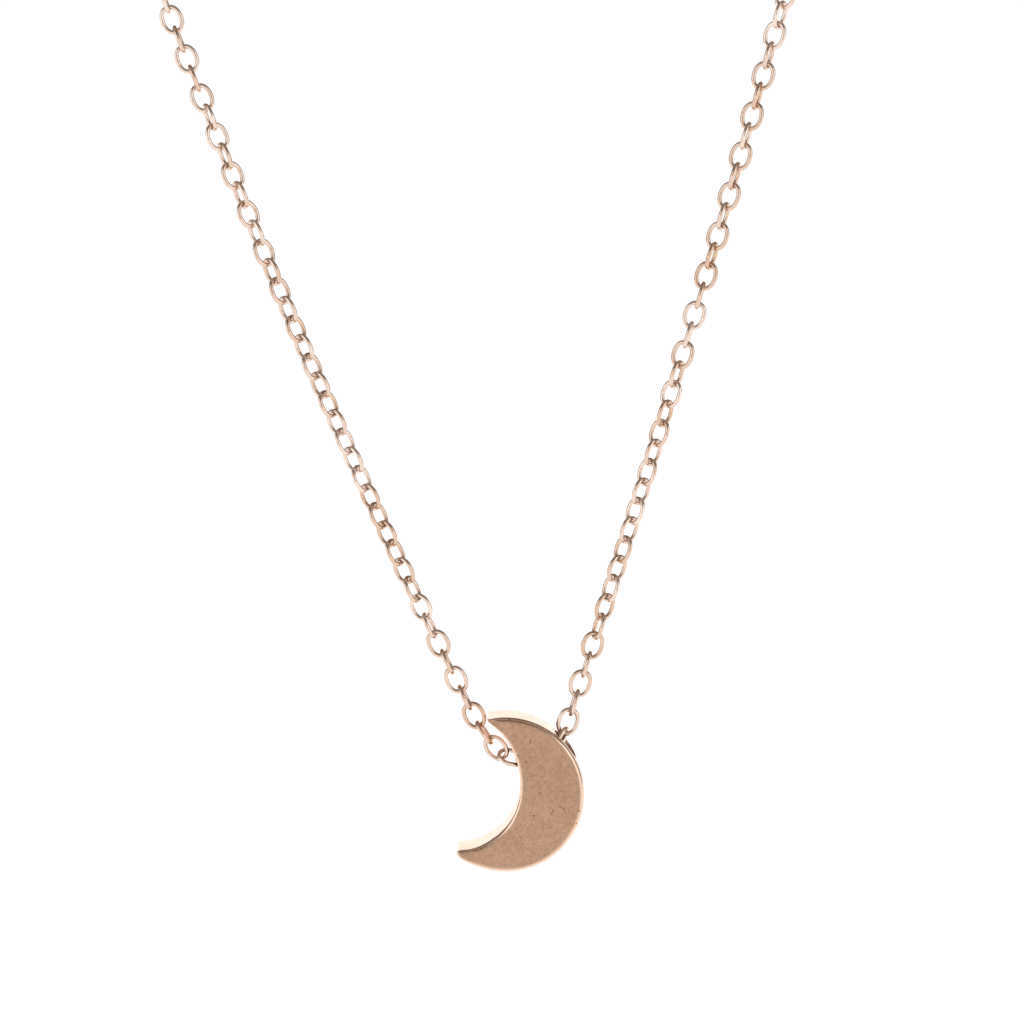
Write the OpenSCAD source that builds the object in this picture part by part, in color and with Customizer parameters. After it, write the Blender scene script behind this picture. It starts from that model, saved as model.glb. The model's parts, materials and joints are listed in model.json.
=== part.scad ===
// Pendant necklace: a crescent bead strung on a fine oval-link cable chain,
// closed behind the neck by a lobster clasp with a short extender.
// Origin: middle of the neck, at the height where the chain lies on the shoulders.
// +Z up. -Y is the front: the two hanging sides of the chain lie in one upright
// plane there, and the crescent's face looks along -Y.

/* [Chain] */
// Outer length of one chain link, mm
link_length = 1.80; // [1.76:0.01:1.84]
// Outer width of one chain link, mm
link_width = 1.40; // [1.34:0.01:1.46]
// Wire diameter of the chain, mm
link_wire = 0.27; // [0.25:0.01:0.28]
// Play between two linked wires, mm
link_play = 0.02; // [0.01:0.005:0.03]

/* [Crescent bead] */
// Outer diameter of the crescent, mm
moon_diameter = 9.6; // [9.4:0.1:9.8]
// Thickness of the crescent from front to back, mm
moon_thickness = 3.0; // [2.8:0.1:3.4]
// Width of the bevel along the crescent's face edges, mm
moon_edge = 0.14; // [0.08:0.01:0.16]
// Diameter of the hole that the chain runs through, mm
bore_diameter = 1.8; // [1.75:0.05:1.9]

/* [Clasp] */
// Thickness of the clasp's cheeks together, mm
clasp_thickness = 1.7; // [1.6:0.05:1.9]
// Angle the clasp trigger is drawn open, degrees
trigger_angle = 0; // [0:1:18]

/* [Extender] */
// Number of extender links in each of its three runs
extender_links = 8; // [6:2:10]
// Diameter of the ball at the end of the extender, mm
drop_diameter = 3.4; // [2.8:0.1:3.8]

/* [Hidden] */

rose = [0.80, 0.58, 0.46];
rose_light = [0.87, 0.67, 0.56];
steel = [0.70, 0.70, 0.72];

// ---- the line the chain follows --------------------------------------------
// All of it is worked out about the crescent's centre first, then moved so that
// the origin is the middle of the neck.

// Distance between neighbouring contact points of the chain.
pitch = link_length - 2 * link_wire - link_play;

// The hole through the crescent, and the middle of the chain lying in it.
bore_rise = 19.9;
bore_dir = [cos(bore_rise), 0, sin(bore_rise)];
bore_mid = [2.105, 0, 2.44];
chain_mid = bore_mid + 0.15 * [sin(bore_rise), 0, -cos(bore_rise)];
// Where each side starts: the two links that meet in the hole lie slack.
function start(side) = side < 0 ? chain_mid - 0.14 * bore_dir + 0.08 * [-sin(bore_rise), 0, cos(bore_rise)] : chain_mid - 0.08 * bore_dir;

// Lean of each side from the vertical, by link number counted from the crescent.
left_lean = [[0, 109.9], [1, 75], [2, 40], [3, 34.5], [4, 26.3], [8, 25.6], [12, 24.6], [20, 23.5], [30, 21.8], [41, 20.4], [70, 20], [115, 19.5]];
right_lean = [[0, 70.1], [1, 24], [2, 17.5], [10, 17.3], [20, 16.3], [38, 15.1], [70, 15.15], [115, 15.1]];

// Twist of each side by link number: 0 shows the even links face on, 90 the odd ones.
left_roll = [[0, 45], [1, 35], [2, 12], [3, 4], [8, 0], [10, 22], [13, 38], [24, 42], [27, 48], [31, 58], [36, 68], [38, 84], [40, 90], [130, 90], [157, 20], [162, 20]];
right_roll = [[0, -45], [1, -20], [2, 4], [6, 0], [8, 36], [15, 46], [18, 52], [20, 60], [22, 80], [24, 84], [26, 68], [28, 68], [31, 72], [35, 76], [38, 60], [44, 60], [49, 90], [130, 90], [155, 15], [162, 15]];

// Links on each side: down the front, and round the back.
left_front = 104;
right_front = 99;
left_back = 44;
right_back = 46;
// Radius of the turn over the shoulder.
shoulder_radius = 6;

function unit(v) = v / norm(v);
function spin_z(v, a) = [v[0] * cos(a) - v[1] * sin(a), v[0] * sin(a) + v[1] * cos(a), v[2]];
function front_dir(side, lean) = [side * sin(lean), 0, cos(lean)];
function lean_of(side, j) = lookup(j, side < 0 ? left_lean : right_lean);
function roll_of(side, j) = side * (lookup(j, side < 0 ? left_roll : right_roll) + (j % 2) * 90);
function front_links(side) = side < 0 ? left_front : right_front;
function top_dir(side) = front_dir(side, lean_of(side, front_links(side)));

// Quarter turn over the shoulder, from the hanging direction to straight back.
turn_links = shoulder_radius * PI / 2 / pitch;
function turn_angle(side, j) = min(90, max(0, (j - front_links(side) + 0.5) * 90 / turn_links));
// Quarter round of the neck, then straight along its back.
function round_angle(side, j, r) = min(90, max(0, (j - front_links(side) - turn_links + 0.5) * pitch / r * 180 / PI));

function tangent(side, j, r) =
  round_angle(side, j, r) > 0 ? spin_z([0, 1, 0], side * round_angle(side, j, r)) :
  turn_angle(side, j) > 0 ? top_dir(side) * cos(turn_angle(side, j)) + [0, sin(turn_angle(side, j)), 0] :
  front_dir(side, lean_of(side, j));

function facing(side, j, r) =
  round_angle(side, j, r) > 0 ? spin_z(-top_dir(side), side * round_angle(side, j, r)) :
  turn_angle(side, j) > 0 ? [0, cos(turn_angle(side, j)), 0] - top_dir(side) * sin(turn_angle(side, j)) :
  [0, 1, 0];

// The links that turn into the crescent's hole sit a little looser than the rest.
bend_play = 0.08;
function step(side, j) = pitch - (j <= (side < 0 ? 2 : 1) ? bend_play : 0);

function walk(side, count, r) =
  [for (j = 0, p = start(side); j <= count; p = p + step(side, j) * tangent(side, j, r), j = j + 1) p];

// The radius round the neck follows from the width between the shoulders, the
// number of links behind them and the length of the clasp.
function shoulder_count(side) = ceil(front_links(side) + turn_links);
function shoulder_end(side) = walk(side, shoulder_count(side), 1e6)[shoulder_count(side)];
left_shoulder = shoulder_end(-1);
right_shoulder = shoulder_end(1);
left_over = (left_front + turn_links - shoulder_count(-1)) * pitch;
right_over = (right_front + turn_links - shoulder_count(1)) * pitch;
neck_width = right_shoulder[0] - left_shoulder[0];

ring_a_wire = 0.48;  ring_a_mean = 2.40;
ring_b_wire = 0.50;  ring_b_mean = 3.10;
eye_wire = 0.60;     eye_mean = 1.00;
hook_wire = 1.00;    hook_mean = 2.00;   hook_at = 5.90;
play = 0.04;
function gap(a, b) = (a + b) / 2 + play;
half_contact = (link_wire + link_play) / 2;
// From the last left contact point to the middle of the eye, and onward to the last right contact point.
ring_a_x = half_contact - gap(link_wire, ring_a_wire) + ring_a_mean / 2;
eye_x = ring_a_x + ring_a_mean / 2 - gap(ring_a_wire, eye_wire) + eye_mean;
ring_b_x = eye_x + hook_at + hook_mean - gap(hook_wire, ring_b_wire) + ring_b_mean / 2;
clasp_span = ring_b_x + ring_b_mean / 2 - gap(link_wire, ring_b_wire) + half_contact;

neck_radius = ((left_back + right_back) * pitch + clasp_span - neck_width - left_over - right_over) / (PI - 2);

left_count = left_back + shoulder_count(-1);
right_count = right_back + shoulder_count(1);
left_walk = walk(-1, left_count, neck_radius);
right_walk = walk(1, right_count, neck_radius);
left_end = left_walk[left_count];
right_end = right_walk[right_count];

// Everything is moved so that the middle of the neck is the origin.
shift = -[(left_shoulder[0] + right_shoulder[0]) / 2, left_end[1] / 2, left_end[2]];

// ---- one link ---------------------------------------------------------------
// Two half rings joined by two short straights, in the XZ plane, long axis along Z.
module oval(length, width, wire) {
  bend = (width - wire) / 2;
  straight = length - width;
  rotate([90, 0, 0]) {
    translate([0, straight / 2, 0]) rotate_extrude(angle = 180, $fn = 48) translate([bend, 0]) circle(d = wire, $fn = 24);
    translate([0, -straight / 2, 0]) rotate([0, 0, 180]) rotate_extrude(angle = 180, $fn = 48) translate([bend, 0]) circle(d = wire, $fn = 24);
    for (x = [-bend, bend]) translate([x, straight / 2, 0]) rotate([90, 0, 0]) cylinder(d = wire, h = straight, $fn = 24);
  }
}

module chain_link() oval(link_length, link_width, link_wire);

// A link between contact points p and q, its face normal turned by roll from the given facing.
module placed_link(p, q, facing, roll) {
  t = unit(q - p);
  n = unit(facing - (facing * t) * t);
  x = cross(n, t);
  c = (p + q) / 2 + shift;
  multmatrix([[x[0], n[0], t[0], c[0]], [x[1], n[1], t[1], c[1]], [x[2], n[2], t[2], c[2]], [0, 0, 0, 1]])
    rotate([0, 0, roll]) chain_link();
}

module side_links(side, first, last) {
  path = side < 0 ? left_walk : right_walk;
  for (j = [first:1:last])
    placed_link(path[j], path[j + 1], facing(side, j, neck_radius), roll_of(side, j));
}

// First link of each run, counted from the crescent; the last entry is the first link that lies on the neck.
left_first = [1, 8, 27, 37, 53, 73, 91];
right_first = [1, 6, 24, 34, 49, 69, 87];

module left_links_6() color(rose_light) side_links(-1, left_first[0], left_first[1] - 1);
module left_links_5() color(rose_light) side_links(-1, left_first[1], left_first[2] - 1);
module left_links_4() color(rose_light) side_links(-1, left_first[2], left_first[3] - 1);
module left_links_3() color(rose_light) side_links(-1, left_first[3], left_first[4] - 1);
module left_links_2() color(rose_light) side_links(-1, left_first[4], left_first[5] - 1);
module left_links_1() color(rose_light) side_links(-1, left_first[5], left_first[6] - 1);
module right_links_6() color(rose_light) side_links(1, right_first[0], right_first[1] - 1);
module right_links_5() color(rose_light) side_links(1, right_first[1], right_first[2] - 1);
module right_links_4() color(rose_light) side_links(1, right_first[2], right_first[3] - 1);
module right_links_3() color(rose_light) side_links(1, right_first[3], right_first[4] - 1);
module right_links_2() color(rose_light) side_links(1, right_first[4], right_first[5] - 1);
module right_links_1() color(rose_light) side_links(1, right_first[5], right_first[6] - 1);
module back_links_left_a() color(rose_light) side_links(-1, left_first[6], left_first[6] + 32);
module back_links_left_b() color(rose_light) side_links(-1, left_first[6] + 33, left_count - 1);
module back_links_right_a() color(rose_light) side_links(1, right_first[6], right_first[6] + 32);
module back_links_right_b() color(rose_light) side_links(1, right_first[6] + 33, right_count - 1);
// The two links that lie inside the crescent's hole.
module bore_links() color(rose_light) {
  side_links(-1, 0, 0);
  side_links(1, 0, 0);
}

// ---- the crescent -----------------------------------------------------------
moon_radius = moon_diameter / 2;
half_thick = moon_thickness / 2;
// The hollow side is two arcs that meet smoothly: a tight one below, a flatter one above.
hollow_radius = 3.76;
hollow_at = [-2.88, 0.41];
hollow_join = -10;
upper_radius = 4.95;
join_dir = [cos(hollow_join), sin(hollow_join)];
join_at = hollow_at + hollow_radius * join_dir;
upper_at = join_at - upper_radius * join_dir;
lower_tip_radius = 0.20;
upper_tip_radius = 0.15;

// Point at distance ra from a and rb from b, on the side picked by s.
function meet(a, ra, b, rb, s) =
  let (d = norm(b - a), u = (b - a) / d, m = (ra * ra - rb * rb + d * d) / (2 * d), h = sqrt(ra * ra - m * m))
  a + m * u + s * h * [-u[1], u[0]];
lower_tip = meet([0, 0], moon_radius - lower_tip_radius, hollow_at, hollow_radius + lower_tip_radius, 1);
upper_tip = meet([0, 0], moon_radius - upper_tip_radius, upper_at, upper_radius + upper_tip_radius, -1);

// A disc with bevelled rims, axis along Z.
module bevelled_disc(r, h, e) {
  translate([0, 0, e]) cylinder(r = r, h = h - 2 * e, $fn = 128);
  cylinder(r1 = r - e, r2 = r, h = e, $fn = 128);
  translate([0, 0, h - e]) cylinder(r1 = r, r2 = r - e, h = e, $fn = 128);
}

// The tool for the hollow: a cylinder that flares at both faces and leaves bevelled edges.
module hollow_tool(r, e) {
  translate([0, 0, -1]) cylinder(r = r, h = moon_thickness + 2, $fn = 128);
  translate([0, 0, moon_thickness - e]) cylinder(r1 = r, r2 = r + e + 0.5, h = e + 0.5, $fn = 128);
  translate([0, 0, -0.5]) cylinder(r1 = r + e + 0.5, r2 = r, h = e + 0.5, $fn = 128);
}

// Blunts a horn: cuts it off square across its tip circle.
module horn_cut(tip, from) {
  bis = unit(unit(tip) - unit(tip - from));
  cut_dir = [-bis[1], bis[0]];
  s = cut_dir * [-1, 0] > 0 ? 1 : -1;
  translate([tip[0], tip[1], -1]) rotate([0, 0, atan2(s * cut_dir[1], s * cut_dir[0])])
    translate([0, -1.5, 0]) cube([3, 3, moon_thickness + 2]);
}

module crescent_flat() {
  difference() {
    bevelled_disc(moon_radius, moon_thickness, moon_edge);
    translate([hollow_at[0], hollow_at[1], 0]) hollow_tool(hollow_radius, moon_edge);
    intersection() {
      translate([upper_at[0], upper_at[1], 0]) hollow_tool(upper_radius, moon_edge);
      translate([hollow_at[0], hollow_at[1], -1]) rotate([0, 0, hollow_join])
        translate([-2, 0, 0]) cube([12, 12, moon_thickness + 2]);
    }
    horn_cut(lower_tip, hollow_at);
    horn_cut(upper_tip, upper_at);
  }
}

module moon_bead() color(rose) translate(shift) difference() {
  translate([0, half_thick, 0]) rotate([90, 0, 0]) crescent_flat();
  translate(bore_mid) rotate([0, 90 - bore_rise, 0]) {
    translate([0, 0, -6]) cylinder(d = bore_diameter, h = 12, $fn = 64);
    // slight flare where the drill broke out on the round side
    translate([0, 0, 1.15]) cylinder(d1 = bore_diameter - 0.2, d2 = bore_diameter + 0.8, h = 1.2, $fn = 64);
  }
}

// ---- clasp, catch ring and extender ------------------------------------------
back_y = left_end[1] + shift[1];
first_x = left_end[0] + shift[0];

module at_back(x) translate([first_x + x, back_y, 0]) children();
module ring(mean, wire) rotate_extrude($fn = 96) translate([mean / 2, 0]) circle(d = wire, $fn = 32);

module jump_ring_clasp() color(rose_light) at_back(ring_a_x) ring(ring_a_mean, ring_a_wire);
module jump_ring_catch() color(rose_light) at_back(ring_b_x) ring(ring_b_mean, ring_b_wire);

pivot = [2.7, -0.55];
rivet_d = 0.62;
slot = 0.92;
// Clasp drawings lie in the XZ plane with the eye at the origin.
module slab(y0, y1) translate([0, y1, 0]) rotate([90, 0, 0]) linear_extrude(height = y1 - y0) children();

module palm() {
  circle(r = 0.55, $fn = 48);
  polygon([[0.2, 0.52], [0.2, -0.52], [2.45, -1.62], [3.2, -1.62], [4.55, -0.2], [4.9, 1.35], [4.2, 1.75], [3.3, 1.42]]);
  translate([2.7, -0.55]) circle(r = 1.12, $fn = 64);
}

module clasp_body() color(rose_light) at_back(eye_x) difference() {
  union() {
    // hook, from its tip below round the front to the palm
    translate([hook_at, 0, 0]) rotate([90, 0, 0]) rotate([0, 0, -52])
      rotate_extrude(angle = 202, $fn = 96) translate([hook_mean, 0]) circle(d = hook_wire, $fn = 32);
    translate([hook_at + hook_mean * cos(-52), 0, hook_mean * sin(-52)]) sphere(d = hook_wire, $fn = 32);
    difference() {
      slab(-clasp_thickness / 2, clasp_thickness / 2) palm();
      rotate([90, 0, 0]) cylinder(r = eye_mean + 0.28, h = 4, center = true, $fn = 64);
    }
    rotate([90, 0, 0]) rotate_extrude($fn = 96) translate([eye_mean, 0]) circle(d = eye_wire, $fn = 32);
  }
  // slot for the trigger, open towards the gate side
  translate([1.35, -slot / 2, -3.4]) cube([2.9, slot, 3.55]);
  translate([3.2, -slot / 2, -3.4]) cube([2.2, slot, 3.4 + 0.75]);
  translate([pivot[0], 0, pivot[1]]) rotate([90, 0, 0]) cylinder(d = rivet_d, h = 4, center = true, $fn = 48);
}

module clasp_rivet() color(rose) at_back(eye_x) translate([pivot[0], 0, pivot[1]])
  rotate([90, 0, 0]) cylinder(d = rivet_d, h = clasp_thickness + 0.16, center = true, $fn = 48);

trigger_wire = 0.60;
module clasp_trigger() color(rose_light) at_back(eye_x)
  translate([pivot[0], 0, pivot[1]]) rotate([0, -trigger_angle, 0]) translate([-pivot[0], 0, -pivot[1]]) difference() {
    union() {
      // knuckle, set to one side of the slot so that the spring fits beside it
      translate([pivot[0], -0.10, pivot[1]]) rotate([90, 0, 0]) cylinder(r = 0.66, h = 0.60, center = true, $fn = 48);
      // gate, an arc just inside the line of the hook, ending short of the hook's tip
      translate([hook_at, 0, 0]) rotate([90, 0, 0]) rotate([0, 0, 204])
        rotate_extrude(angle = 75, $fn = 96) translate([hook_mean - 0.2, 0]) circle(d = trigger_wire, $fn = 32);
      slab(-0.33, 0.13) polygon([[2.6, -0.1], [4.3, -0.45], [4.45, -1.3], [2.8, -1.1]]);
      // thumb tab
      slab(-0.38, 0.18) polygon([[2.25, -1.0], [2.95, -1.15], [2.3, -2.55], [1.75, -2.35]]);
      translate([2.0, -0.10, -2.42]) rotate([90, 0, 0]) cylinder(r = 0.34, h = 1.1, center = true, $fn = 32);
    }
    translate([pivot[0], 0, pivot[1]]) rotate([90, 0, 0]) cylinder(d = rivet_d + 0.06, h = 4, center = true, $fn = 48);
  }

module clasp_spring() color(steel) at_back(eye_x)
  translate([pivot[0], 0.33, pivot[1]]) rotate([90, 0, 0])
    rotate_extrude($fn = 64) translate([0.47, 0]) circle(d = 0.16, $fn = 24);

// Extender: larger oval links hanging from the back of the catch ring.
ext_length = 3.0;
ext_width = 2.4;
ext_wire = 0.45;
ext_pitch = ext_length - 2 * ext_wire - 0.03;
ext_x = ring_b_x;
ext_y = ring_b_mean / 2;
ext_top = gap(ring_b_wire, ext_wire) - (ext_length - ext_wire) / 2;
module ext_run(first, last) for (k = [first:1:last])
  at_back(ext_x) translate([0, ext_y, ext_top - k * ext_pitch]) rotate([0, 0, k % 2 == 0 ? 90 : 0])
    oval(ext_length, ext_width, ext_wire);
module extender_links_1() color(rose_light) ext_run(0, extender_links - 1);
module extender_links_2() color(rose_light) ext_run(extender_links, 2 * extender_links - 1);
module extender_links_3() color(rose_light) ext_run(2 * extender_links, 3 * extender_links - 1);

drop_ring_mean = 2.3;
drop_ring_wire = 0.45;
// Height of the lowest wire centre of the last extender link, then of the drop ring and the eyelet.
last_wire = ext_top - (3 * extender_links - 1) * ext_pitch - (ext_length - ext_wire) / 2;
drop_ring_z = last_wire + gap(ext_wire, drop_ring_wire) - drop_ring_mean / 2;
drop_wire = drop_ring_z - drop_ring_mean / 2;
eyelet_mean = 1.5;
eyelet_wire = 0.40;
eyelet_z = drop_wire + gap(drop_ring_wire, eyelet_wire) - eyelet_mean / 2;
module drop_ring() color(rose_light) at_back(ext_x) translate([0, ext_y, drop_ring_z])
  rotate([0, 90, 0]) ring(drop_ring_mean, drop_ring_wire);
module end_drop() color(rose_light) at_back(ext_x) translate([0, ext_y, 0]) {
  translate([0, 0, eyelet_z]) rotate([90, 0, 0]) ring(eyelet_mean, eyelet_wire);
  translate([0, 0, eyelet_z - eyelet_mean / 2 - 0.75]) cylinder(d1 = 1.5, d2 = 0.5, h = 0.85, $fn = 48);
  translate([0, 0, eyelet_z - eyelet_mean / 2 - 0.35 - drop_diameter / 2]) sphere(d = drop_diameter, $fn = 64);
}

moon_bead();
bore_links();
left_links_1();
left_links_2();
left_links_3();
left_links_4();
left_links_5();
left_links_6();
right_links_1();
right_links_2();
right_links_3();
right_links_4();
right_links_5();
right_links_6();
back_links_left_a();
back_links_left_b();
back_links_right_a();
back_links_right_b();
jump_ring_clasp();
clasp_body();
clasp_trigger();
clasp_rivet();
clasp_spring();
jump_ring_catch();
extender_links_1();
extender_links_2();
extender_links_3();
drop_ring();
end_drop();
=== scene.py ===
import json
import math

import bmesh
import bpy
import numpy as np
from mathutils import Matrix, Vector

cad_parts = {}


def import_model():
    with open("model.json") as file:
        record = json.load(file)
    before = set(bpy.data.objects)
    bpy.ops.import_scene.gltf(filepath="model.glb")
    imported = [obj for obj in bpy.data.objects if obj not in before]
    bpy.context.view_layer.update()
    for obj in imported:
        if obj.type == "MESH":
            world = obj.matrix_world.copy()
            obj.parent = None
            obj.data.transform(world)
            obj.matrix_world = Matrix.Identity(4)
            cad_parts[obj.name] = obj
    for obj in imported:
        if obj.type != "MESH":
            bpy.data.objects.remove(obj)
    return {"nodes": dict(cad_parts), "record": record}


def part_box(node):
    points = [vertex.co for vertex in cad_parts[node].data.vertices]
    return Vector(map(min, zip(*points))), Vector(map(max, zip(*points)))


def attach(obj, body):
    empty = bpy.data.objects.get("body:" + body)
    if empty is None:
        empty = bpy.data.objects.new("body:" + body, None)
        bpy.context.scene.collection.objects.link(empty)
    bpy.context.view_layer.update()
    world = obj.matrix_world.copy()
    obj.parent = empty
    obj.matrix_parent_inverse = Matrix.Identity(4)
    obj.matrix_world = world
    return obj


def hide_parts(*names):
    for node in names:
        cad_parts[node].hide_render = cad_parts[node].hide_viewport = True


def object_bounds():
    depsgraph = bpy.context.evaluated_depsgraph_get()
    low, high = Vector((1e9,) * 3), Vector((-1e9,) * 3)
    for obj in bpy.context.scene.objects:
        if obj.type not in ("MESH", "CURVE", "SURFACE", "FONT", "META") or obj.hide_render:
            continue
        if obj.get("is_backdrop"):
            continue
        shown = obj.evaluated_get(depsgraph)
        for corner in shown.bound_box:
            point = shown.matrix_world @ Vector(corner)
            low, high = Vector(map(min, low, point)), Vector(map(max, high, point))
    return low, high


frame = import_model()
cad_lo, cad_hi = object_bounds()

MM = 0.001
rng = np.random.default_rng(11)
scene = bpy.context.scene


# ---------------------------------------------------------------- materials
def new_material(name):
    m = bpy.data.materials.new(name)
    m.use_nodes = True
    t = m.node_tree
    t.nodes.clear()
    out = t.nodes.new("ShaderNodeOutputMaterial")
    bsdf = t.nodes.new("ShaderNodeBsdfPrincipled")
    t.links.new(bsdf.outputs[0], out.inputs[0])
    return m, t, bsdf


def noise(t, vec, scale, detail=3.0, rough=0.55, distortion=0.0):
    n = t.nodes.new("ShaderNodeTexNoise")
    n.inputs["Scale"].default_value = scale
    n.inputs["Detail"].default_value = detail
    n.inputs["Roughness"].default_value = rough
    n.inputs["Distortion"].default_value = distortion
    t.links.new(vec, n.inputs["Vector"])
    return n.outputs["Fac"]


def ramp(t, fac, stops):
    r = t.nodes.new("ShaderNodeValToRGB")
    e = r.color_ramp.elements
    while len(e) < len(stops):
        e.new(0.5)
    for k, (p, c) in enumerate(stops):
        e[k].position = p
        e[k].color = (*c, 1) if len(c) == 3 else c
    t.links.new(fac, r.inputs[0])
    return r.outputs[0]


def spread(t, fac, lo, hi, a=0.3, b=0.7):
    m = t.nodes.new("ShaderNodeMapRange")
    m.inputs["From Min"].default_value = a
    m.inputs["From Max"].default_value = b
    m.inputs["To Min"].default_value = lo
    m.inputs["To Max"].default_value = hi
    t.links.new(fac, m.inputs["Value"])
    return m.outputs[0]


def mathn(t, op, a, b=None, clamp=False):
    m = t.nodes.new("ShaderNodeMath")
    m.operation = op
    m.use_clamp = clamp
    for k, v in enumerate((a, b)):
        if v is None:
            continue
        if isinstance(v, (int, float)):
            m.inputs[k].default_value = v
        else:
            t.links.new(v, m.inputs[k])
    return m.outputs[0]


def mixc(t, fac, a, b):
    m = t.nodes.new("ShaderNodeMix")
    m.data_type = "RGBA"
    for key, v in ((0, fac), (6, a), (7, b)):
        if isinstance(v, (int, float)):
            m.inputs[key].default_value = v
        elif isinstance(v, tuple):
            m.inputs[key].default_value = (*v, 1)
        else:
            t.links.new(v, m.inputs[key])
    return m.outputs[2]


def bump(t, height, strength, distance, normal=None):
    b = t.nodes.new("ShaderNodeBump")
    b.inputs["Strength"].default_value = strength
    b.inputs["Distance"].default_value = distance
    t.links.new(height, b.inputs["Height"])
    if normal is not None:
        t.links.new(normal, b.inputs["Normal"])
    return b.outputs[0]


def attribute(t, name):
    a = t.nodes.new("ShaderNodeAttribute")
    a.attribute_name = name
    return a.outputs["Fac"]


def plated(name, deep, mid, light, rough=(0.14, 0.24), tone="tone", coarse=700.0, fine=5200.0, bump_mm=0.004):
    """Polished plated metal: slow tone changes from piece to piece, rubbed patches, fine polishing marks."""
    m, t, s = new_material(name)
    tc = t.nodes.new("ShaderNodeTexCoord").outputs["Object"]
    slow = noise(t, tc, coarse, 3.0, 0.6)
    grain = noise(t, tc, fine, 4.0, 0.65)
    piece = attribute(t, tone)
    col = ramp(t, mathn(t, "ADD", mathn(t, "MULTIPLY", slow, 0.55), mathn(t, "MULTIPLY", piece, 0.45)),
               [(0.30, deep), (0.50, mid), (0.72, light)])
    # thin darker film in small patches where dirt and polish stay
    spots = spread(t, noise(t, tc, fine * 0.45, 2.0, 0.5), 0.0, 0.55, 0.58, 0.74)
    col = mixc(t, spots, col, deep)
    t.links.new(col, s.inputs["Base Color"])
    t.links.new(spread(t, mathn(t, "ADD", mathn(t, "MULTIPLY", grain, 0.6), mathn(t, "MULTIPLY", slow, 0.4)), rough[0], rough[1], 0.35, 0.65), s.inputs["Roughness"])
    t.links.new(bump(t, grain, 0.5, bump_mm * MM), s.inputs["Normal"])
    s.inputs["Metallic"].default_value = 1.0
    s.inputs["Specular Tint"].default_value = (1.0, 0.97, 0.94, 1.0)
    return m


chain_metal = plated("rose_gold_chain", (0.67, 0.46, 0.33), (0.735, 0.57, 0.475), (0.84, 0.73, 0.655), rough=(0.10, 0.19), bump_mm=0.002)
finding_metal = plated("rose_gold_findings", (0.66, 0.43, 0.31), (0.78, 0.57, 0.45), (0.86, 0.67, 0.56), rough=(0.13, 0.27), coarse=350.0, fine=3600.0)
rivet_metal = plated("rose_gold_rivet", (0.70, 0.38, 0.25), (0.84, 0.51, 0.38), (0.92, 0.60, 0.48), rough=(0.22, 0.38), coarse=500.0, fine=6000.0)


def spring_material():
    m, t, s = new_material("spring_wire")
    tc = t.nodes.new("ShaderNodeTexCoord").outputs["Object"]
    g = noise(t, tc, 9000.0, 3.0, 0.6)
    t.links.new(ramp(t, g, [(0.35, (0.34, 0.34, 0.36)), (0.65, (0.60, 0.60, 0.62))]), s.inputs["Base Color"])
    t.links.new(spread(t, g, 0.22, 0.42), s.inputs["Roughness"])
    t.links.new(bump(t, g, 0.5, 0.003 * MM), s.inputs["Normal"])
    s.inputs["Metallic"].default_value = 1.0
    return m


spring_metal = spring_material()


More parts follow.
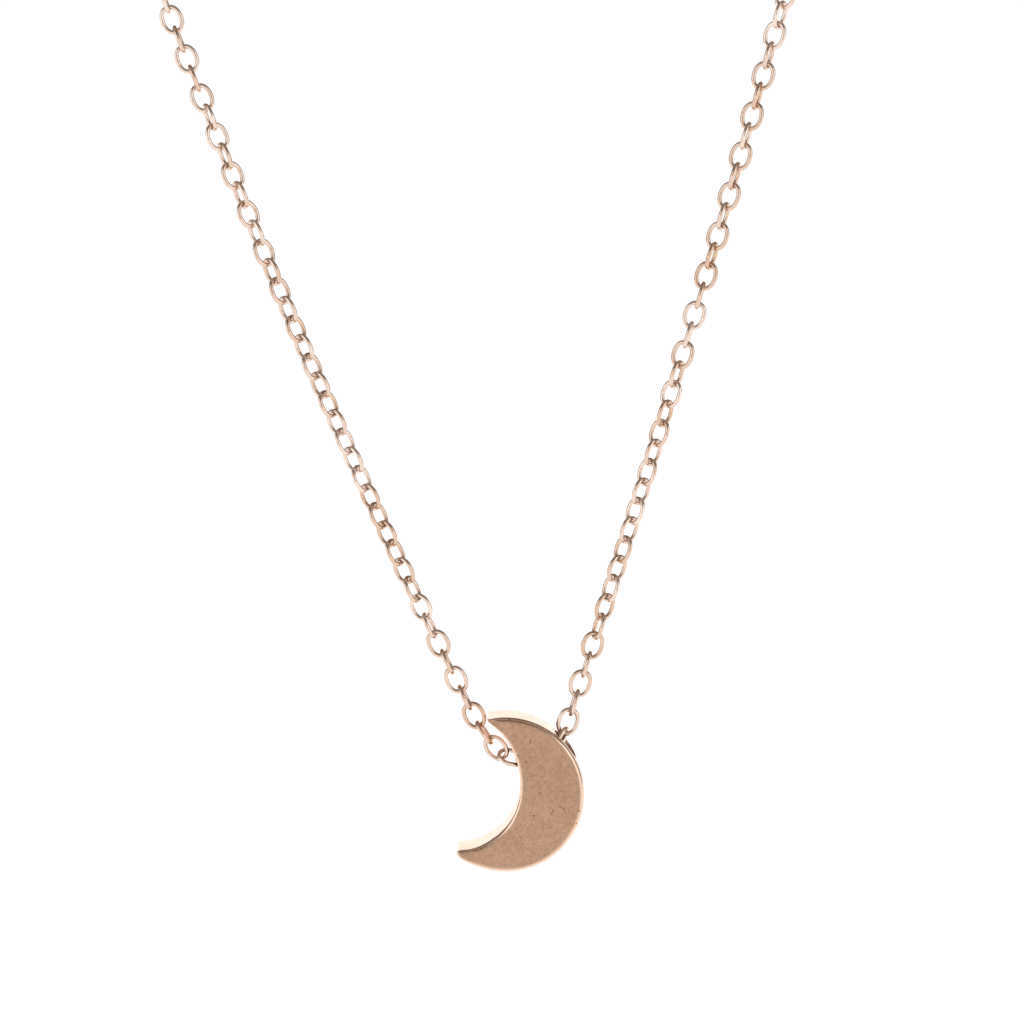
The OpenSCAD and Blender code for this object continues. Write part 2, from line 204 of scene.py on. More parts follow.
def moon_materials():
    """Satin brushed face and polished rims and walls, blended by the mesh's own rim attribute. The face's much darker
    brown is painted shade.
    """
    m, t, s = new_material("rose_gold_moon")
    tc = t.nodes.new("ShaderNodeTexCoord").outputs["Object"]
    rim = attribute(t, "rim")            # 0 on the flat faces, 1 on the rounding and walls
    blotch = noise(t, tc, 520.0, 4.0, 0.62, 0.4)
    mottle = noise(t, tc, 4600.0, 3.0, 0.65)
    grain = noise(t, tc, 14000.0, 2.0, 0.6)
    speck = mathn(t, "ADD", mathn(t, "MULTIPLY", mottle, 0.38), mathn(t, "MULTIPLY", grain, 0.46))
    # painted shade: the flat face gets a much darker brown than the rims and walls, the shade of a face turned to the
    # dim front; its satin roughness is real
    face = ramp(t, mathn(t, "ADD", mathn(t, "MULTIPLY", blotch, 0.16), speck),
                [(0.40, (0.385, 0.231, 0.150)), (0.50, (0.476, 0.300, 0.200)), (0.60, (0.565, 0.368, 0.254))])
    wall = ramp(t, blotch, [(0.35, (0.80, 0.55, 0.41)), (0.65, (0.88, 0.65, 0.51))])
    col = mixc(t, rim, face, wall)
    # scattered tiny pits in the casting
    v = t.nodes.new("ShaderNodeTexVoronoi")
    v.inputs["Scale"].default_value = 2500.0
    v.inputs["Randomness"].default_value = 1.0
    t.links.new(tc, v.inputs["Vector"])
    few = spread(t, noise(t, tc, 800.0, 2.0, 0.5), 0.0, 1.0, 0.54, 0.60)
    pit = mathn(t, "MULTIPLY", spread(t, v.outputs["Distance"], 1.0, 0.0, 0.11, 0.23), few, clamp=True)
    col = mixc(t, mathn(t, "MULTIPLY", pit, 0.75), col, (0.26, 0.12, 0.065))
    t.links.new(col, s.inputs["Base Color"])
    sat = spread(t, mathn(t, "ADD", mathn(t, "MULTIPLY", mottle, 0.5), mathn(t, "MULTIPLY", grain, 0.5)), 0.30, 0.42, 0.35, 0.65)
    pol = spread(t, mottle, 0.10, 0.19, 0.35, 0.65)
    r = t.nodes.new("ShaderNodeMix")
    t.links.new(rim, r.inputs[0])
    t.links.new(sat, r.inputs[2])
    t.links.new(pol, r.inputs[3])
    t.links.new(r.outputs[0], s.inputs["Roughness"])
    rub = mathn(t, "MULTIPLY", mathn(t, "SUBTRACT", 1.0, mathn(t, "MULTIPLY", rim, 0.75)), mathn(t, "ADD", mathn(t, "MULTIPLY", grain, 0.5), mathn(t, "MULTIPLY", mottle, 0.6)))
    n1 = bump(t, rub, 0.55, 0.012 * MM)
    t.links.new(bump(t, mathn(t, "SUBTRACT", 1.0, pit), 0.8, 0.03 * MM, n1), s.inputs["Normal"])
    s.inputs["Metallic"].default_value = 1.0
    s.inputs["Specular Tint"].default_value = (1.0, 0.98, 0.95, 1.0)

    h, t, s = new_material("rose_gold_bore_painted_shade")
    tc = t.nodes.new("ShaderNodeTexCoord").outputs["Object"]
    g = noise(t, tc, 7000.0, 4.0, 0.7)
    # painted shade: the bore gets a darker, redder colour than the walls, the shade inside the hole
    t.links.new(ramp(t, g, [(0.35, (0.64, 0.32, 0.18)), (0.65, (0.82, 0.48, 0.32))]), s.inputs["Base Color"])
    t.links.new(spread(t, g, 0.26, 0.46), s.inputs["Roughness"])
    t.links.new(bump(t, g, 0.7, 0.02 * MM), s.inputs["Normal"])
    s.inputs["Metallic"].default_value = 1.0
    return m, h


moon_metal, bore_metal_painted_shade = moon_materials()


# ---------------------------------------------------------------- mesh helpers
def add_object(name, mesh, mats, body, slot, *nodes):
    o = bpy.data.objects.new(name, mesh)
    scene.collection.objects.link(o)
    for m in mats:
        mesh.materials.append(m)
    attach(o, body)
    if nodes:
        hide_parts(*nodes)
    return o


def mesh_from(name, verts, quads, tone=None, smooth=True):
    me = bpy.data.meshes.new(name)
    verts = np.asarray(verts, np.float32)
    quads = np.asarray(quads, np.int32)
    me.vertices.add(len(verts))
    me.vertices.foreach_set("co", verts.ravel())
    me.loops.add(quads.size)
    me.loops.foreach_set("vertex_index", quads.ravel())
    me.polygons.add(len(quads))
    me.polygons.foreach_set("loop_start", np.arange(0, quads.size, 4, dtype=np.int32))
    me.polygons.foreach_set("loop_total", np.full(len(quads), 4, np.int32))
    me.update(calc_edges=True)
    if smooth:
        me.polygons.foreach_set("use_smooth", np.ones(len(quads), bool))
    if tone is not None:
        a = me.attributes.new("tone", "FLOAT", "POINT")
        a.data.foreach_set("value", np.asarray(tone, np.float32))
    me.validate()
    return me


def set_tone(me, value):
    a = me.attributes.new("tone", "FLOAT", "POINT")
    a.data.foreach_set("value", np.full(len(me.vertices), value, np.float32))


def tube(path, radius, around, closed=True, up=None, squash=None):
    """A round wire along a path of points. radius may be one number or one for each point."""
    path = np.asarray(path, float)
    n = len(path)
    radius = np.broadcast_to(np.asarray(radius, float), (n,))
    if closed:
        tan = np.roll(path, -1, 0) - np.roll(path, 1, 0)
    else:
        tan = np.gradient(path, axis=0)
    tan /= np.linalg.norm(tan, axis=1)[:, None]
    up = np.array(up if up is not None else (0, 1, 0), float)
    side = np.cross(tan, up)
    side /= np.linalg.norm(side, axis=1)[:, None]
    nor = np.cross(side, tan)
    a = np.arange(around) / around * 2 * math.pi
    ring = np.cos(a)[None, :, None] * side[:, None, :] + np.sin(a)[None, :, None] * nor[:, None, :]
    v = path[:, None, :] + ring * radius[:, None, None]
    rows = n if closed else n - 1
    i = np.arange(rows)[:, None]
    j = np.arange(around)[None, :]
    i2, j2 = (i + 1) % n, (j + 1) % around
    q = np.stack([i * around + j, i * around + j2, i2 * around + j2, i2 * around + j], -1).reshape(-1, 4)
    return v.reshape(-1, 3), q


def solids(node):
    """The separate closed solids of a CAD node, each as its vertices."""
    me = frame["nodes"][node].data
    co = np.empty(len(me.vertices) * 3, np.float32)
    me.vertices.foreach_get("co", co)
    co = co.reshape(-1, 3).astype(float)
    ed = np.empty(len(me.edges) * 2, np.int32)
    me.edges.foreach_get("vertices", ed)
    ed = ed.reshape(-1, 2)
    _, first, inv = np.unique(np.round(co * 2e7).astype(np.int64), axis=0, return_index=True, return_inverse=True)
    inv = inv.ravel()
    a, b = inv[ed[:, 0]], inv[ed[:, 1]]
    pts = co[first]
    lab = np.arange(len(pts))
    while True:
        low = np.minimum(lab[a], lab[b])
        new = lab.copy()
        np.minimum.at(new, lab[a], low)
        np.minimum.at(new, lab[b], low)
        np.minimum.at(new, a, low)
        np.minimum.at(new, b, low)
        new = new[new]
        if (new == lab).all():
            break
        lab = new
    return [pts[lab == k] for k in np.unique(lab)]


def oval_link(length, width, wire, along, around, power):
    """One link in the XZ plane, long axis along Z: a soldered oval of round wire, a touch
    thicker at its seam and a touch flatter where the next link rubs."""
    a, b = (length - wire) / 2, (width - wire) / 2
    th = np.arange(along) / along * 2 * math.pi
    c, s = np.cos(th), np.sin(th)
    r = (np.abs(c / b) ** power + np.abs(s / a) ** power) ** (-1 / power)
    path = np.stack([r * c, np.zeros(along), r * s], 1)
    seam = np.exp(-((np.minimum(th, 2 * math.pi - th)) / 0.13) ** 2)
    rad = wire / 2 * (1 + 0.07 * seam)
    rub = np.exp(-((np.abs(np.abs(s) - 1)) / 0.02) ** 2)
    rad = rad * (1 - 0.03 * rub)
    return tube(path, rad, around)


def links_object(name, node, body, slot, mat, size, along=72, around=16, power=2.2):
    length, width, wire = size
    v, q = oval_link(length, width, wire, along, around, power)
    verts, quads, tones = [], [], []
    worst = 0
    for k, pts in enumerate(solids(node)):
        mid = pts.mean(0)
        _, _, ax = np.linalg.svd(pts - mid, full_matrices=False)
        t, w, n = ax
        if t[2] < 0 or (abs(t[2]) < 1e-3 and t[1] < 0):
            t = -t
        n = np.cross(t, w)
        ext = [np.ptp((pts - mid) @ d) for d in (t, w, n)]
        worst = max(worst, abs(ext[0] - length), abs(ext[1] - width), abs(ext[2] - wire))
        flip = 1 if rng.random() < 0.5 else -1          # which side the seam is on
        m = np.stack([flip * w, flip * n, t])            # link x, y, z
        verts.append(v @ m + mid)
        quads.append(q + k * len(v))
        tones.append(np.full(len(v), rng.uniform(0.15, 0.85)))
    print(f"{name}: {len(verts)} links, worst size error {worst * 1000:.4f} mm")
    me = mesh_from(name, np.concatenate(verts), np.concatenate(quads), np.concatenate(tones))
    return add_object(name, me, [mat], body, slot, node)


# ---------------------------------------------------------------- chain
LINK = (1.80 * MM, 1.40 * MM, 0.27 * MM)
EXT = (3.0 * MM, 2.4 * MM, 0.45 * MM)
bodies = frame["record"]["behaviour"]["bodies"]
body_of = {n: b for b, ns in bodies.items() for n in ns}
for node in sorted(body_of):
    if node.startswith(("left_links", "right_links", "back_links", "bore_links")):
        fine = node in ("bore_links", "left_links_6", "right_links_6", "left_links_5", "right_links_5")
        links_object("chain_" + node, node, body_of[node], "chain_metal", chain_metal, LINK, 80 if fine else 60, 18 if fine else 14)
    elif node.startswith("extender_links"):
        links_object("chain_" + node, node, body_of[node], "chain_metal", chain_metal, EXT, 88, 20, power=2.2)


# ---------------------------------------------------------------- crescent
m_lo, m_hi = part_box("moon_bead")
R = 4.8 * MM
centre = Vector((m_hi.x - R, (m_lo.y + m_hi.y) / 2, m_lo.z + R))
half_t = (m_hi.y - m_lo.y) / 2


def arc(c, r, a0, a1, step, closed_end=False):
    n = max(2, int(math.ceil(abs(a1 - a0) * r / step)))
    a = np.linspace(a0, a1, n + 1)
    if not closed_end:
        a = a[:-1]
    p = np.stack([c[0] + r * np.cos(a), c[1] + r * np.sin(a)], 1)
    n = np.stack([np.cos(a), np.sin(a)], 1)
    return p, n


def crescent():
    """Front outline in mm about the crescent's centre, with outward normals and the edge rounding at each point."""
    low_tip, low_r = np.array([-2.642, -3.643]), 0.30
    up_tip, up_r = np.array([-0.951, 4.603]), 0.10
    hol, hol_r = np.array([-2.88, 0.41]), 3.76
    join = math.radians(-10)
    upc, up_cr = hol + (hol_r - 4.95) * np.array([math.cos(join), math.sin(join)]), 4.95
    ang = lambda v: math.atan2(v[1], v[0])
    a_low, a_up = ang(low_tip), ang(up_tip)
    out_p, out_n = arc((0, 0), 4.8, a_low, a_up, 0.07)              # round side, counter-clockwise
    # upper horn's tip: from the round side over to the hollow side
    e = ang(upc - up_tip) % (2 * math.pi)
    tu_p, tu_n = arc(up_tip, up_r, a_up, e, 0.02)
    # hollow side, walked clockwise about its own centres, normals point to those centres
    s = ang(up_tip - upc)
    hu_p, hu_n = arc(upc, up_cr, s, join, 0.07)
    hl_p, hl_n = arc(hol, hol_r, join, ang(low_tip - hol), 0.07)
    # lower horn's tip
    b0 = ang(hol - low_tip)
    b1 = a_low + (2 * math.pi if a_low < b0 else 0)
    tl_p, tl_n = arc(low_tip, low_r, b0, b1, 0.02)
    p = np.concatenate([out_p, tu_p, hu_p, hl_p, tl_p])
    n = np.concatenate([out_n, tu_n, -hu_n, -hl_n, tl_n])
    # the hollow edge sags a little towards the lower horn's blunt end; the upper horn's end reaches out
    sm = lambda t: np.clip(t, 0, 1) ** 2 * (3 - 2 * np.clip(t, 0, 1))
    w = sm((-0.6 - p[:, 0]) / 1.4) * (p[:, 1] < -2.0)
    floor_y = -np.sqrt(np.maximum(4.8 ** 2 - p[:, 0] ** 2, 0.0))      # the round side under each point
    p[:, 1] -= 0.09 * w * np.clip((p[:, 1] - floor_y) / 0.6, 0, 1)
    p[:, 0] -= (0.06 * sm((-1.8 - p[:, 0]) / 1.0) * (p[:, 1] < -2.0)
                + 0.06 * sm((p[:, 1] - 3.9) / 0.6) * (p[:, 0] < 0.6) * sm((0.6 - p[:, 0]) / 0.8))
    # even spacing along the outline, then its corners evened out
    step = np.linalg.norm(np.roll(p, -1, 0) - p, axis=1)
    p, n = p[step > 0.004], n[step > 0.004]
    step = np.linalg.norm(np.roll(p, -1, 0) - p, axis=1)
    s = np.concatenate([[0], np.cumsum(step)])
    closed = np.vstack([p, p[:1]])
    tip_s = [s[np.argmin(np.linalg.norm(p - q, axis=1))] for q in (up_tip + (-0.15, 0.05), low_tip + (-0.3, 0))]
    fine = np.arange(0, s[-1], 0.012)
    gap = np.min([np.minimum(abs(fine - q), s[-1] - abs(fine - q)) for q in tip_s], axis=0)
    density = 1 / np.clip(0.018 + (gap - 0.3) * 0.06, 0.018, 0.07)
    cum = np.concatenate([[0], np.cumsum(density[:-1])])
    count = int(cum[-1] * 0.012)
    at = np.interp(np.arange(count) / count * cum[-1], cum, fine)
    p = np.stack([np.interp(at, s, closed[:, k]) for k in (0, 1)], 1)
    for _ in range(4):
        p = (np.roll(p, 1, 0) + 2 * p + np.roll(p, -1, 0)) / 4
    d = np.roll(p, -1, 0) - np.roll(p, 1, 0)
    n = np.stack([d[:, 1], -d[:, 0]], 1)
    n /= np.linalg.norm(n, axis=1)[:, None]
    near = np.minimum(np.linalg.norm(p - (up_tip + (-0.08, 0.02)), axis=1), np.linalg.norm(p - (low_tip + (-0.10, -0.05)), axis=1))
    low = p[:, 1] < 0
    f = sm((near - np.where(low, 0.3, 0.12)) / np.where(low, 1.2, 1.7))
    least = np.where(low, 0.17, 0.065)
    hollow = (np.hypot(p[:, 0], p[:, 1]) < 4.7) & (p[:, 1] > -1.5)
    wide = np.where(hollow, 0.20, 0.29)
    for _ in range(40):
        wide = (np.roll(wide, 1) + 2 * wide + np.roll(wide, -1)) / 4
    e = least + (wide - least) * f
    # the round side's edge is broken wider over the upper horn
    over = (np.hypot(p[:, 0], p[:, 1]) > 4.62) & (p[:, 1] > 3.0) & (p[:, 0] < 2.6)
    over = over * sm((near - 0.15) / 0.7) * sm((2.6 - p[:, 0]) / 1.6)
    for _ in range(8):
        over = (np.roll(over, 1) + 2 * over + np.roll(over, -1)) / 4
    e = e * (1 - over) + 0.29 * over
    ends = 0.09 * (1 - sm(near / 0.9))      # the horns' ends are rounded in thickness too
    return p, n, e, ends


def moon():
    p, n, e, ends = crescent()
    count = len(p)
    T = half_t / MM - ends
    steps = 10
    rings, rims = [], []
    # flat face support ring, then the rounding, then down the wall to the other side
    prof = [(1.25, 0.0, 0.0)] + [(1 - math.sin(k / steps * math.pi / 2), 1 - math.cos(k / steps * math.pi / 2), k / steps) for k in range(steps + 1)]
    for inset, drop, f in prof:
        q = p - n * (e * inset)[:, None]
        y = -(T - e * drop)
        rings.append(np.stack([q[:, 0], y, q[:, 1]], 1))
        rims.append(np.full(count, min(1.0, f * 2.5)))
    for f in (-0.6, -0.2, 0.2, 0.6):
        rings.append(np.stack([p[:, 0], f * T, p[:, 1]], 1))
        rims.append(np.ones(count))
    for inset, drop, f in reversed(prof):
        q = p - n * (e * inset)[:, None]
        y = T - e * drop
        rings.append(np.stack([q[:, 0], y, q[:, 1]], 1))
        rims.append(np.full(count, min(1.0, f * 2.5)))
    v = np.concatenate(rings) * MM + np.array(centre)
    rim = np.concatenate(rims)
    me = bpy.data.meshes.new("moon")
    bm = bmesh.new()
    layer = bm.verts.layers.float.new("rim")
    vs = [bm.verts.new(c) for c in v]
    for x, r in zip(vs, rim):
        x[layer] = float(r)
    for k in range(len(rings) - 1):
        for i in range(count):
            j = (i + 1) % count
            bm.faces.new((vs[k * count + i], vs[(k + 1) * count + i], vs[(k + 1) * count + j], vs[k * count + j]))
    first = [vs[i] for i in range(count)]
    last = [vs[(len(rings) - 1) * count + i] for i in range(count)]
    front = bm.faces.new(first)
    back = bm.faces.new(list(reversed(last)))
    bmesh.ops.recalc_face_normals(bm, faces=bm.faces[:])
    bmesh.ops.triangulate(bm, faces=[front, back], ngon_method="BEAUTY")
    bm.to_mesh(me)
    bm.free()
    me.update()
    o = bpy.data.objects.new("moon", me)
    scene.collection.objects.link(o)
    me.materials.append(moon_metal)
    me.materials.append(bore_metal_painted_shade)
    return o


def drill():
    """The hole: a drilled bore with softly broken edges at both mouths."""
    rise = math.radians(19.9)
    d = Vector((math.cos(rise), 0, math.sin(rise)))
    mid = centre + Vector((2.105, 0, 2.44)) * MM
    # along the axis in mm and radius: inner mouth at about -0.9, outer mouth at about +1.6
    prof = [(-6, 0.90), (-2.2, 0.90), (-0.6, 0.90), (0.6, 0.90), (1.25, 0.91), (1.45, 0.935), (1.65, 0.98), (1.85, 1.06), (2.1, 1.15), (6, 1.15)]
    seg = 96
    bm = bmesh.new()
    rot = d.to_track_quat("Z", "Y").to_matrix()
    rows = []
    for z, r in prof:
        rows.append([bm.verts.new(mid + rot @ Vector((r * MM * math.cos(a), r * MM * math.sin(a), z * MM))) for a in (k / seg * 2 * math.pi for k in range(seg))])
    for k in range(len(rows) - 1):
        for i in range(seg):
            j = (i + 1) % seg
            f = bm.faces.new((rows[k][i], rows[k][j], rows[k + 1][j], rows[k + 1][i]))
            f.material_index = 1
    bm.faces.new(list(reversed(rows[0]))).material_index = 1
    bm.faces.new(rows[-1]).material_index = 1
    bmesh.ops.recalc_face_normals(bm, faces=bm.faces[:])
    me = bpy.data.meshes.new("drill")
    bm.to_mesh(me)
    bm.free()
    o = bpy.data.objects.new("drill", me)
    scene.collection.objects.link(o)
    me.materials.append(moon_metal)
    me.materials.append(bore_metal_painted_shade)
    return o


def applied(o, name):
    """A new mesh with the object's modifiers applied. The object and its old mesh are removed."""
    bpy.context.view_layer.update()
    dg = bpy.context.evaluated_depsgraph_get()
    me = bpy.data.meshes.new_from_object(o.evaluated_get(dg), depsgraph=dg)
    me.name = name
    old = o.data
    bpy.data.objects.remove(o)
    if old.users == 0:
        bpy.data.meshes.remove(old)
    return me


body, cutter = moon(), drill()
# boolean in millimetre-sized numbers would lose the small rounding, so both are scaled up for it
for o in (body, cutter):
    o.data.transform(Matrix.Translation(-centre))
    o.data.transform(Matrix.Scale(1000.0, 4))
mod = body.modifiers.new("bore", "BOOLEAN")
mod.operation = "DIFFERENCE"
mod.solver = "EXACT"
mod.object = cutter
me = applied(body, "moon_crescent")
cm = cutter.data
bpy.data.objects.remove(cutter)
bpy.data.meshes.remove(cm)
me.transform(Matrix.Scale(0.001, 4))
me.transform(Matrix.Translation(centre))
me.materials.clear()
for poly in me.polygons:
    poly.use_smooth = True
me.set_sharp_from_angle(angle=math.radians(32))
me.update()
moon_piece = add_object("moon_crescent", me, [moon_metal, bore_metal_painted_shade], "moon", "moon_metal", "moon_bead")


# ---------------------------------------------------------------- rings, clasp, drop
def mid_of(node):
    lo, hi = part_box(node)
    return np.array((lo + hi) / 2), np.array(hi - lo)


def ring_object(name, node, body, axis, cut=True, around=24, along=128, tone=0.5):
    """A jump ring: round wire bent to a ring whose two cut ends meet."""
    mid, size = mid_of(node)
    k = {"x": 0, "y": 1, "z": 2}[axis]
    wire = size[k]
    outer = max(size)
    r = (outer - wire) / 2
    others = [i for i in range(3) if i != k]
    up = np.zeros(3)
    up[k] = 1
    gap = 0.035 * MM / r if cut else 0.0
    if cut:
        a0 = 0.9
        a = np.linspace(a0 + gap / 2, a0 + 2 * math.pi - gap / 2, along)
    else:
        a = np.arange(along) / along * 2 * math.pi
    path = np.zeros((len(a), 3))
    path[:, others[0]], path[:, others[1]] = r * np.cos(a), r * np.sin(a)
    rad = np.full(len(a), wire / 2)
    v, q = tube(path, rad, around, closed=not cut, up=up)
    if cut:  # cut ends: two end rings of the wire, slightly broken, then closed to the middle
        v, q = list(v), list(q)
        for end, row, sign in ((0, 0, -1), (len(a) - 1, len(a) - 1, 1)):
            base = row * around
            c = path[end]
            inner = [c + (np.array(v[base + j]) - c) * 0.86 for j in range(around)]
            tip = path[end] - path[end - 1 if sign > 0 else 1]
            tip = tip / np.linalg.norm(tip) * 0.012 * MM
            s0 = len(v)
            v += [x + tip for x in inner]
            q += [[base + j, s0 + j, s0 + (j + 1) % around, base + (j + 1) % around] if sign < 0 else [base + j, base + (j + 1) % around, s0 + (j + 1) % around, s0 + j] for j in range(around)]
            s1 = len(v)
            v += [c + tip + (x - c) * 0.25 for x in inner]
            q += [[s0 + j, s1 + j, s1 + (j + 1) % around, s0 + (j + 1) % around] if sign < 0 else [s0 + j, s0 + (j + 1) % around, s1 + (j + 1) % around, s1 + j] for j in range(around)]
            half = around // 2
            for j in range(half - 1):  # close the small middle with quads across
                f = [s1 + j, s1 + j + 1, s1 + around - 2 - j, s1 + around - 1 - j]
                q.append(f if sign > 0 else f[::-1])
    me = mesh_from(name, np.array(v) + mid, np.array(q))
    set_tone(me, tone)
    bm = bmesh.new()
    bm.from_mesh(me)
    bmesh.ops.recalc_face_normals(bm, faces=bm.faces[:])
    bm.to_mesh(me)
    bm.free()
    me.set_sharp_from_angle(angle=math.radians(50))
    return add_object(name, me, [finding_metal], body, "finding_metal", node)


ring_object("ring_clasp_side", "jump_ring_clasp", body_of["jump_ring_clasp"], "z", tone=0.45)
ring_object("ring_catch", "jump_ring_catch", body_of["jump_ring_catch"], "z", tone=0.6)
ring_object("ring_drop", "drop_ring", body_of["drop_ring"], "x", tone=0.4)


def cast_copy(name, node, body, mat, slot, voxel, smooth, tone):
    """A cast, tumbled version of a CAD piece: the same shape with its corners softened."""
    src = frame["nodes"][node].data
    me = src.copy()
    me.name = name
    me.materials.clear()
    me.transform(Matrix.Scale(1000.0, 4))
    bm = bmesh.new()
    bm.from_mesh(me)
    bmesh.ops.remove_doubles(bm, verts=bm.verts[:], dist=1e-4)
    bmesh.ops.recalc_face_normals(bm, faces=bm.faces[:])
    bm.to_mesh(me)
    bm.free()
    for a in [a.name for a in me.attributes if a.name not in ("position",) and not a.is_internal and not a.is_required]:
        me.attributes.remove(me.attributes[a])
    o = bpy.data.objects.new(name + "_work", me)
    scene.collection.objects.link(o)
    r = o.modifiers.new("remesh", "REMESH")
    r.mode = "VOXEL"
    r.voxel_size = voxel
    r.use_smooth_shade = True
    s = o.modifiers.new("smooth", "SMOOTH")
    s.factor = 0.5
    s.iterations = smooth
    out = applied(o, name)
    out.transform(Matrix.Scale(0.001, 4))
    for poly in out.polygons:
        poly.use_smooth = True
    set_tone(out, tone)
    return add_object(name, out, [mat], body, slot, node)


cast_copy("clasp_cast_body", "clasp_body", body_of["clasp_body"], finding_metal, "finding_metal", 0.045, 7, 0.5)
cast_copy("clasp_cast_trigger", "clasp_trigger", body_of["clasp_trigger"], finding_metal, "finding_metal", 0.04, 5, 0.62)


def lathe(name, profile, mid, axis, seg=64):
    """Profile of (radius, along) points in metres turned about an axis through mid; the ends lie on the axis."""
    bm = bmesh.new()
    rot = Vector(axis).to_track_quat("Z", "Y").to_matrix()
    rows = []
    for r, z in profile:
        if r < 1e-9:
            rows.append([bm.verts.new(Vector(mid) + rot @ Vector((0, 0, z)))])
        else:
            rows.append([bm.verts.new(Vector(mid) + rot @ Vector((r * math.cos(a), r * math.sin(a), z))) for a in (k / seg * 2 * math.pi for k in range(seg))])
    for a, b in zip(rows, rows[1:]):
        for i in range(seg):
            j = (i + 1) % seg
            if len(a) == 1:
                bm.faces.new((a[0], b[j], b[i]))
            elif len(b) == 1:
                bm.faces.new((a[i], a[j], b[0]))
            else:
                bm.faces.new((a[i], a[j], b[j], b[i]))
    bmesh.ops.recalc_face_normals(bm, faces=bm.faces[:])
    me = bpy.data.meshes.new(name)
    bm.to_mesh(me)
    bm.free()
    for p in me.polygons:
        p.use_smooth = True
    return me


# rivet with two peened heads
mid, size = mid_of("clasp_rivet")
rr, hy = size[0] / 2, size[1] / 2
heads = [(0.0, -hy), (rr * 0.55, -hy + 0.01 * MM), (rr * 1.0, -hy + 0.035 * MM), (rr * 1.22, -hy + 0.07 * MM), (rr * 1.24, -hy + 0.085 * MM), (rr, -hy + 0.095 * MM), (rr, -hy * 0.4), (rr, 0.0)]
prof = heads + [(r, -z) for r, z in reversed(heads[:-1])]
me = lathe("rivet", prof, mid, (0, 1, 0), 48)
me.set_sharp_from_angle(angle=math.radians(50))
set_tone(me, 0.5)
add_object("clasp_peened_rivet", me, [rivet_metal], body_of["clasp_rivet"], "finding_metal", "clasp_rivet")

# trigger spring: a few turns of fine wire round the rivet
mid, size = mid_of("clasp_spring")
wr = 0.040 * MM
mean = (max(size) - size[1]) / 2
turns, lift = 2.4, 0.085 * MM
th = np.linspace(0, turns * 2 * math.pi, 150)
path = np.stack([mean * np.cos(th), (th / (2 * math.pi) - turns / 2) * lift, mean * np.sin(th)], 1) + mid
rad = wr * np.clip(np.minimum(np.arange(150), np.arange(150)[::-1]) / 3 + 0.12, 0, 1)
v, q = tube(path, rad, 12, closed=False)
q = list(map(list, q))
for base, sign in ((0, -1), (149 * 12, 1)):
    for j in range(5):
        f = [base + j, base + j + 1, base + 10 - j, base + 11 - j]
        q.append(f if sign > 0 else f[::-1])
me = mesh_from("spring", v, np.array(q))
add_object("clasp_trigger_spring", me, [spring_metal], body_of["clasp_spring"], "spring_steel", "clasp_spring")


# ball drop: eyelet, little cap and ball in one
lo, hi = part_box("end_drop")
cx, cy = (lo.x + hi.x) / 2, (lo.y + hi.y) / 2
ball = (hi.x - lo.x) / 2
bz = lo.z + ball
wire, mean = 0.40 * MM, 1.5 * MM / 2
ez = hi.z - wire / 2 - mean
th = np.arange(96) / 96 * 2 * math.pi
v, q = tube(np.stack([mean * np.cos(th), 0 * th, mean * np.sin(th)], 1) + np.array([cx, cy, ez]), wire / 2, 20)
me = mesh_from("eyelet", v, q)
set_tone(me, 0.5)
prof = [(0.0, -ball)]
for k in range(1, 40):
    a = -math.pi / 2 + k / 40 * (math.pi * 0.5 + math.radians(58))
    prof.append((ball * math.cos(a), ball * math.sin(a)))
top = prof[-1]
neck_z = (ez - mean) - bz
for f in (0.15, 0.35, 0.6, 0.8, 1.0):   # concave cap up to the eyelet
    r = top[0] + (0.25 * MM - top[0]) * (1 - (1 - f) ** 2.2)
    prof.append((r, top[1] + (neck_z + 0.04 * MM - top[1]) * f))
prof.append((0.12 * MM, neck_z + 0.08 * MM))
prof.append((0.0, neck_z + 0.09 * MM))
ball_me = lathe("ball", prof, (cx, cy, bz), (0, 0, 1), 72)
set_tone(ball_me, 0.45)
ball_me.set_sharp_from_angle(angle=math.radians(40))
add_object("drop_ball", ball_me, [finding_metal], body_of["end_drop"], "finding_metal", "end_drop")
add_object("drop_eyelet", me, [finding_metal], body_of["end_drop"], "finding_metal")


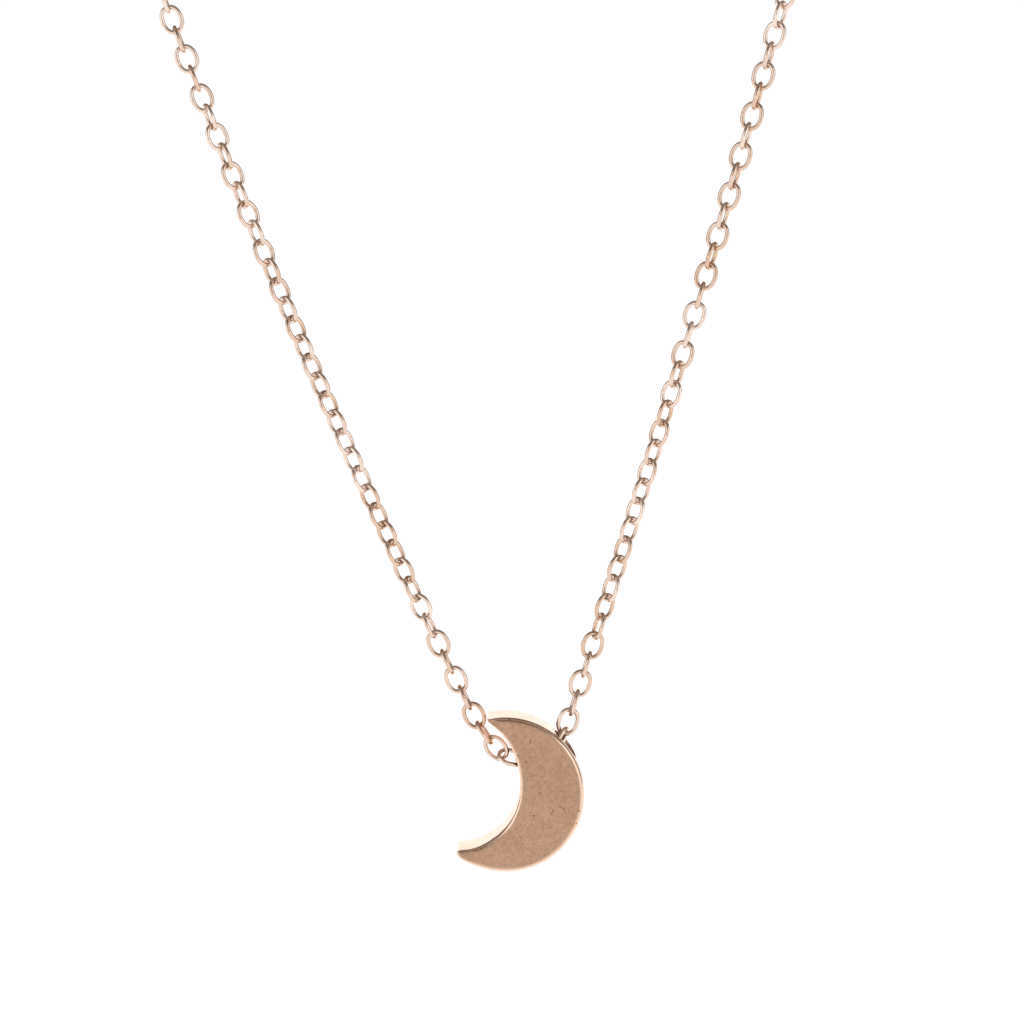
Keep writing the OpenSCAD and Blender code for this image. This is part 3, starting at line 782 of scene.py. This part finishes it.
# ---------------------------------------------------------------- studio
def world():
    """A plain soft studio: pale backdrop behind and floor light below, two soft side panels, dim overhead.
    The open background itself is plain white."""
    w = bpy.data.worlds.new("studio")
    scene.world = w
    w.use_nodes = True
    t = w.node_tree
    t.nodes.clear()
    out = t.nodes.new("ShaderNodeOutputWorld")
    d = t.nodes.new("ShaderNodeTexCoord").outputs["Generated"]
    sep = t.nodes.new("ShaderNodeSeparateXYZ")
    t.links.new(d, sep.inputs[0])
    x, y, z = sep.outputs

    def soft(v, a, b):
        m = t.nodes.new("ShaderNodeMapRange")
        m.interpolation_type = "SMOOTHSTEP"
        m.inputs["From Min"].default_value, m.inputs["From Max"].default_value = a, b
        m.inputs["To Min"].default_value, m.inputs["To Max"].default_value = 0.0, 1.0
        t.links.new(v, m.inputs["Value"])
        return m.outputs[0]

    mul = lambda *v: v[0] if len(v) == 1 else mathn(t, "MULTIPLY", v[0], mul(*v[1:]))
    ax = mathn(t, "ABSOLUTE", x)
    az = mathn(t, "ABSOLUTE", z)
    back = mul(soft(y, 0.78, 0.92), soft(z, -0.62, -0.5), soft(z, 0.62, 0.42))
    sides = mul(soft(ax, 0.44, 0.60), soft(y, -0.14, -0.28), soft(az, 0.60, 0.46))
    front = mul(soft(y, -0.78, -0.92), soft(az, 0.5, 0.3))
    floor = soft(z, -0.45, -0.75)
    top = soft(z, 0.30, 0.58)
    strip = mul(soft(y, -0.48, -0.36), soft(y, -0.06, -0.16), soft(z, 0.45, 0.65))      # a narrow overhead lamp, a little to the front
    light = mathn(t, "ADD", SIDE_LEVEL["base"], 0.0)
    for part, level in ((back, SIDE_LEVEL["back"]), (sides, SIDE_LEVEL["sides"]), (front, SIDE_LEVEL["front"]), (floor, SIDE_LEVEL["floor"]), (strip, SIDE_LEVEL["strip"])):
        light = mathn(t, "ADD", light, mathn(t, "MULTIPLY", part, level))
    light = mathn(t, "SUBTRACT", light, mathn(t, "MULTIPLY", top, SIDE_LEVEL["top"]))
    lp = t.nodes.new("ShaderNodeLightPath").outputs["Is Camera Ray"]
    studio = t.nodes.new("ShaderNodeBackground")
    t.links.new(light, studio.inputs["Strength"])
    # the dim parts of a room are warmer than its lit panels
    t.links.new(ramp(t, mathn(t, "DIVIDE", light, 1.4), [(0.12, (1.0, 0.80, 0.68)), (0.36, (1.0, 0.95, 0.90)), (0.70, (1.0, 0.99, 0.975))]), studio.inputs["Color"])
    plain = t.nodes.new("ShaderNodeBackground")
    plain.inputs["Color"].default_value = (1.0, 1.0, 1.0, 1.0)
    plain.inputs["Strength"].default_value = 1.03
    mix = t.nodes.new("ShaderNodeMixShader")
    t.links.new(lp, mix.inputs[0])
    t.links.new(studio.outputs[0], mix.inputs[1])
    t.links.new(plain.outputs[0], mix.inputs[2])
    t.links.new(mix.outputs[0], out.inputs[0])


SIDE_LEVEL = {"base": 0.46, "back": 0.82, "sides": 1.11, "front": 0.14, "floor": 0.32, "top": 0.27, "strip": 0.38}
world()

# pale floor, well under the hanging necklace
fm = bpy.data.meshes.new("floor")
fs, fz = 3.0, cad_lo.z - 0.19
fm.from_pydata([(-fs, -fs, fz), (fs, -fs, fz), (fs, fs, fz), (-fs, fs, fz)], [], [(0, 1, 2, 3)])
floor = bpy.data.objects.new("floor", fm)
scene.collection.objects.link(floor)
m, t, s = new_material("pale_floor")
tc = t.nodes.new("ShaderNodeTexCoord").outputs["Object"]
t.links.new(ramp(t, noise(t, tc, 6.0, 2.0), [(0.3, (0.90, 0.90, 0.90)), (0.7, (0.94, 0.94, 0.94))]), s.inputs["Base Color"])
s.inputs["Roughness"].default_value = 0.9
s.inputs["Emission Color"].default_value = (1, 1, 1, 1)
s.inputs["Emission Strength"].default_value = 0.80
fm.materials.append(m)
floor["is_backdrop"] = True

# ---------------------------------------------------------------- camera
cam = bpy.data.cameras.new("camera")
cam.sensor_width = 36.0
cam.lens = 103.9
cam.clip_start, cam.clip_end = 0.005, 20.0
cam.dof.use_dof = False
co = bpy.data.objects.new("camera", cam)
scene.collection.objects.link(co)
pitch = math.radians(6.468)
aim = centre + Vector((0.390, 0, 17.26)) * MM
co.location = aim + Vector((0, -math.cos(pitch), math.sin(pitch))) * 180 * MM
co.rotation_euler = (math.pi / 2 - pitch, 0, 0)
scene.camera = co

scene.view_settings.view_transform = "Standard"
scene.view_settings.look = "None"
scene.view_settings.exposure = 0.0
scene.view_settings.gamma = 1.0

lo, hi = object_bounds()
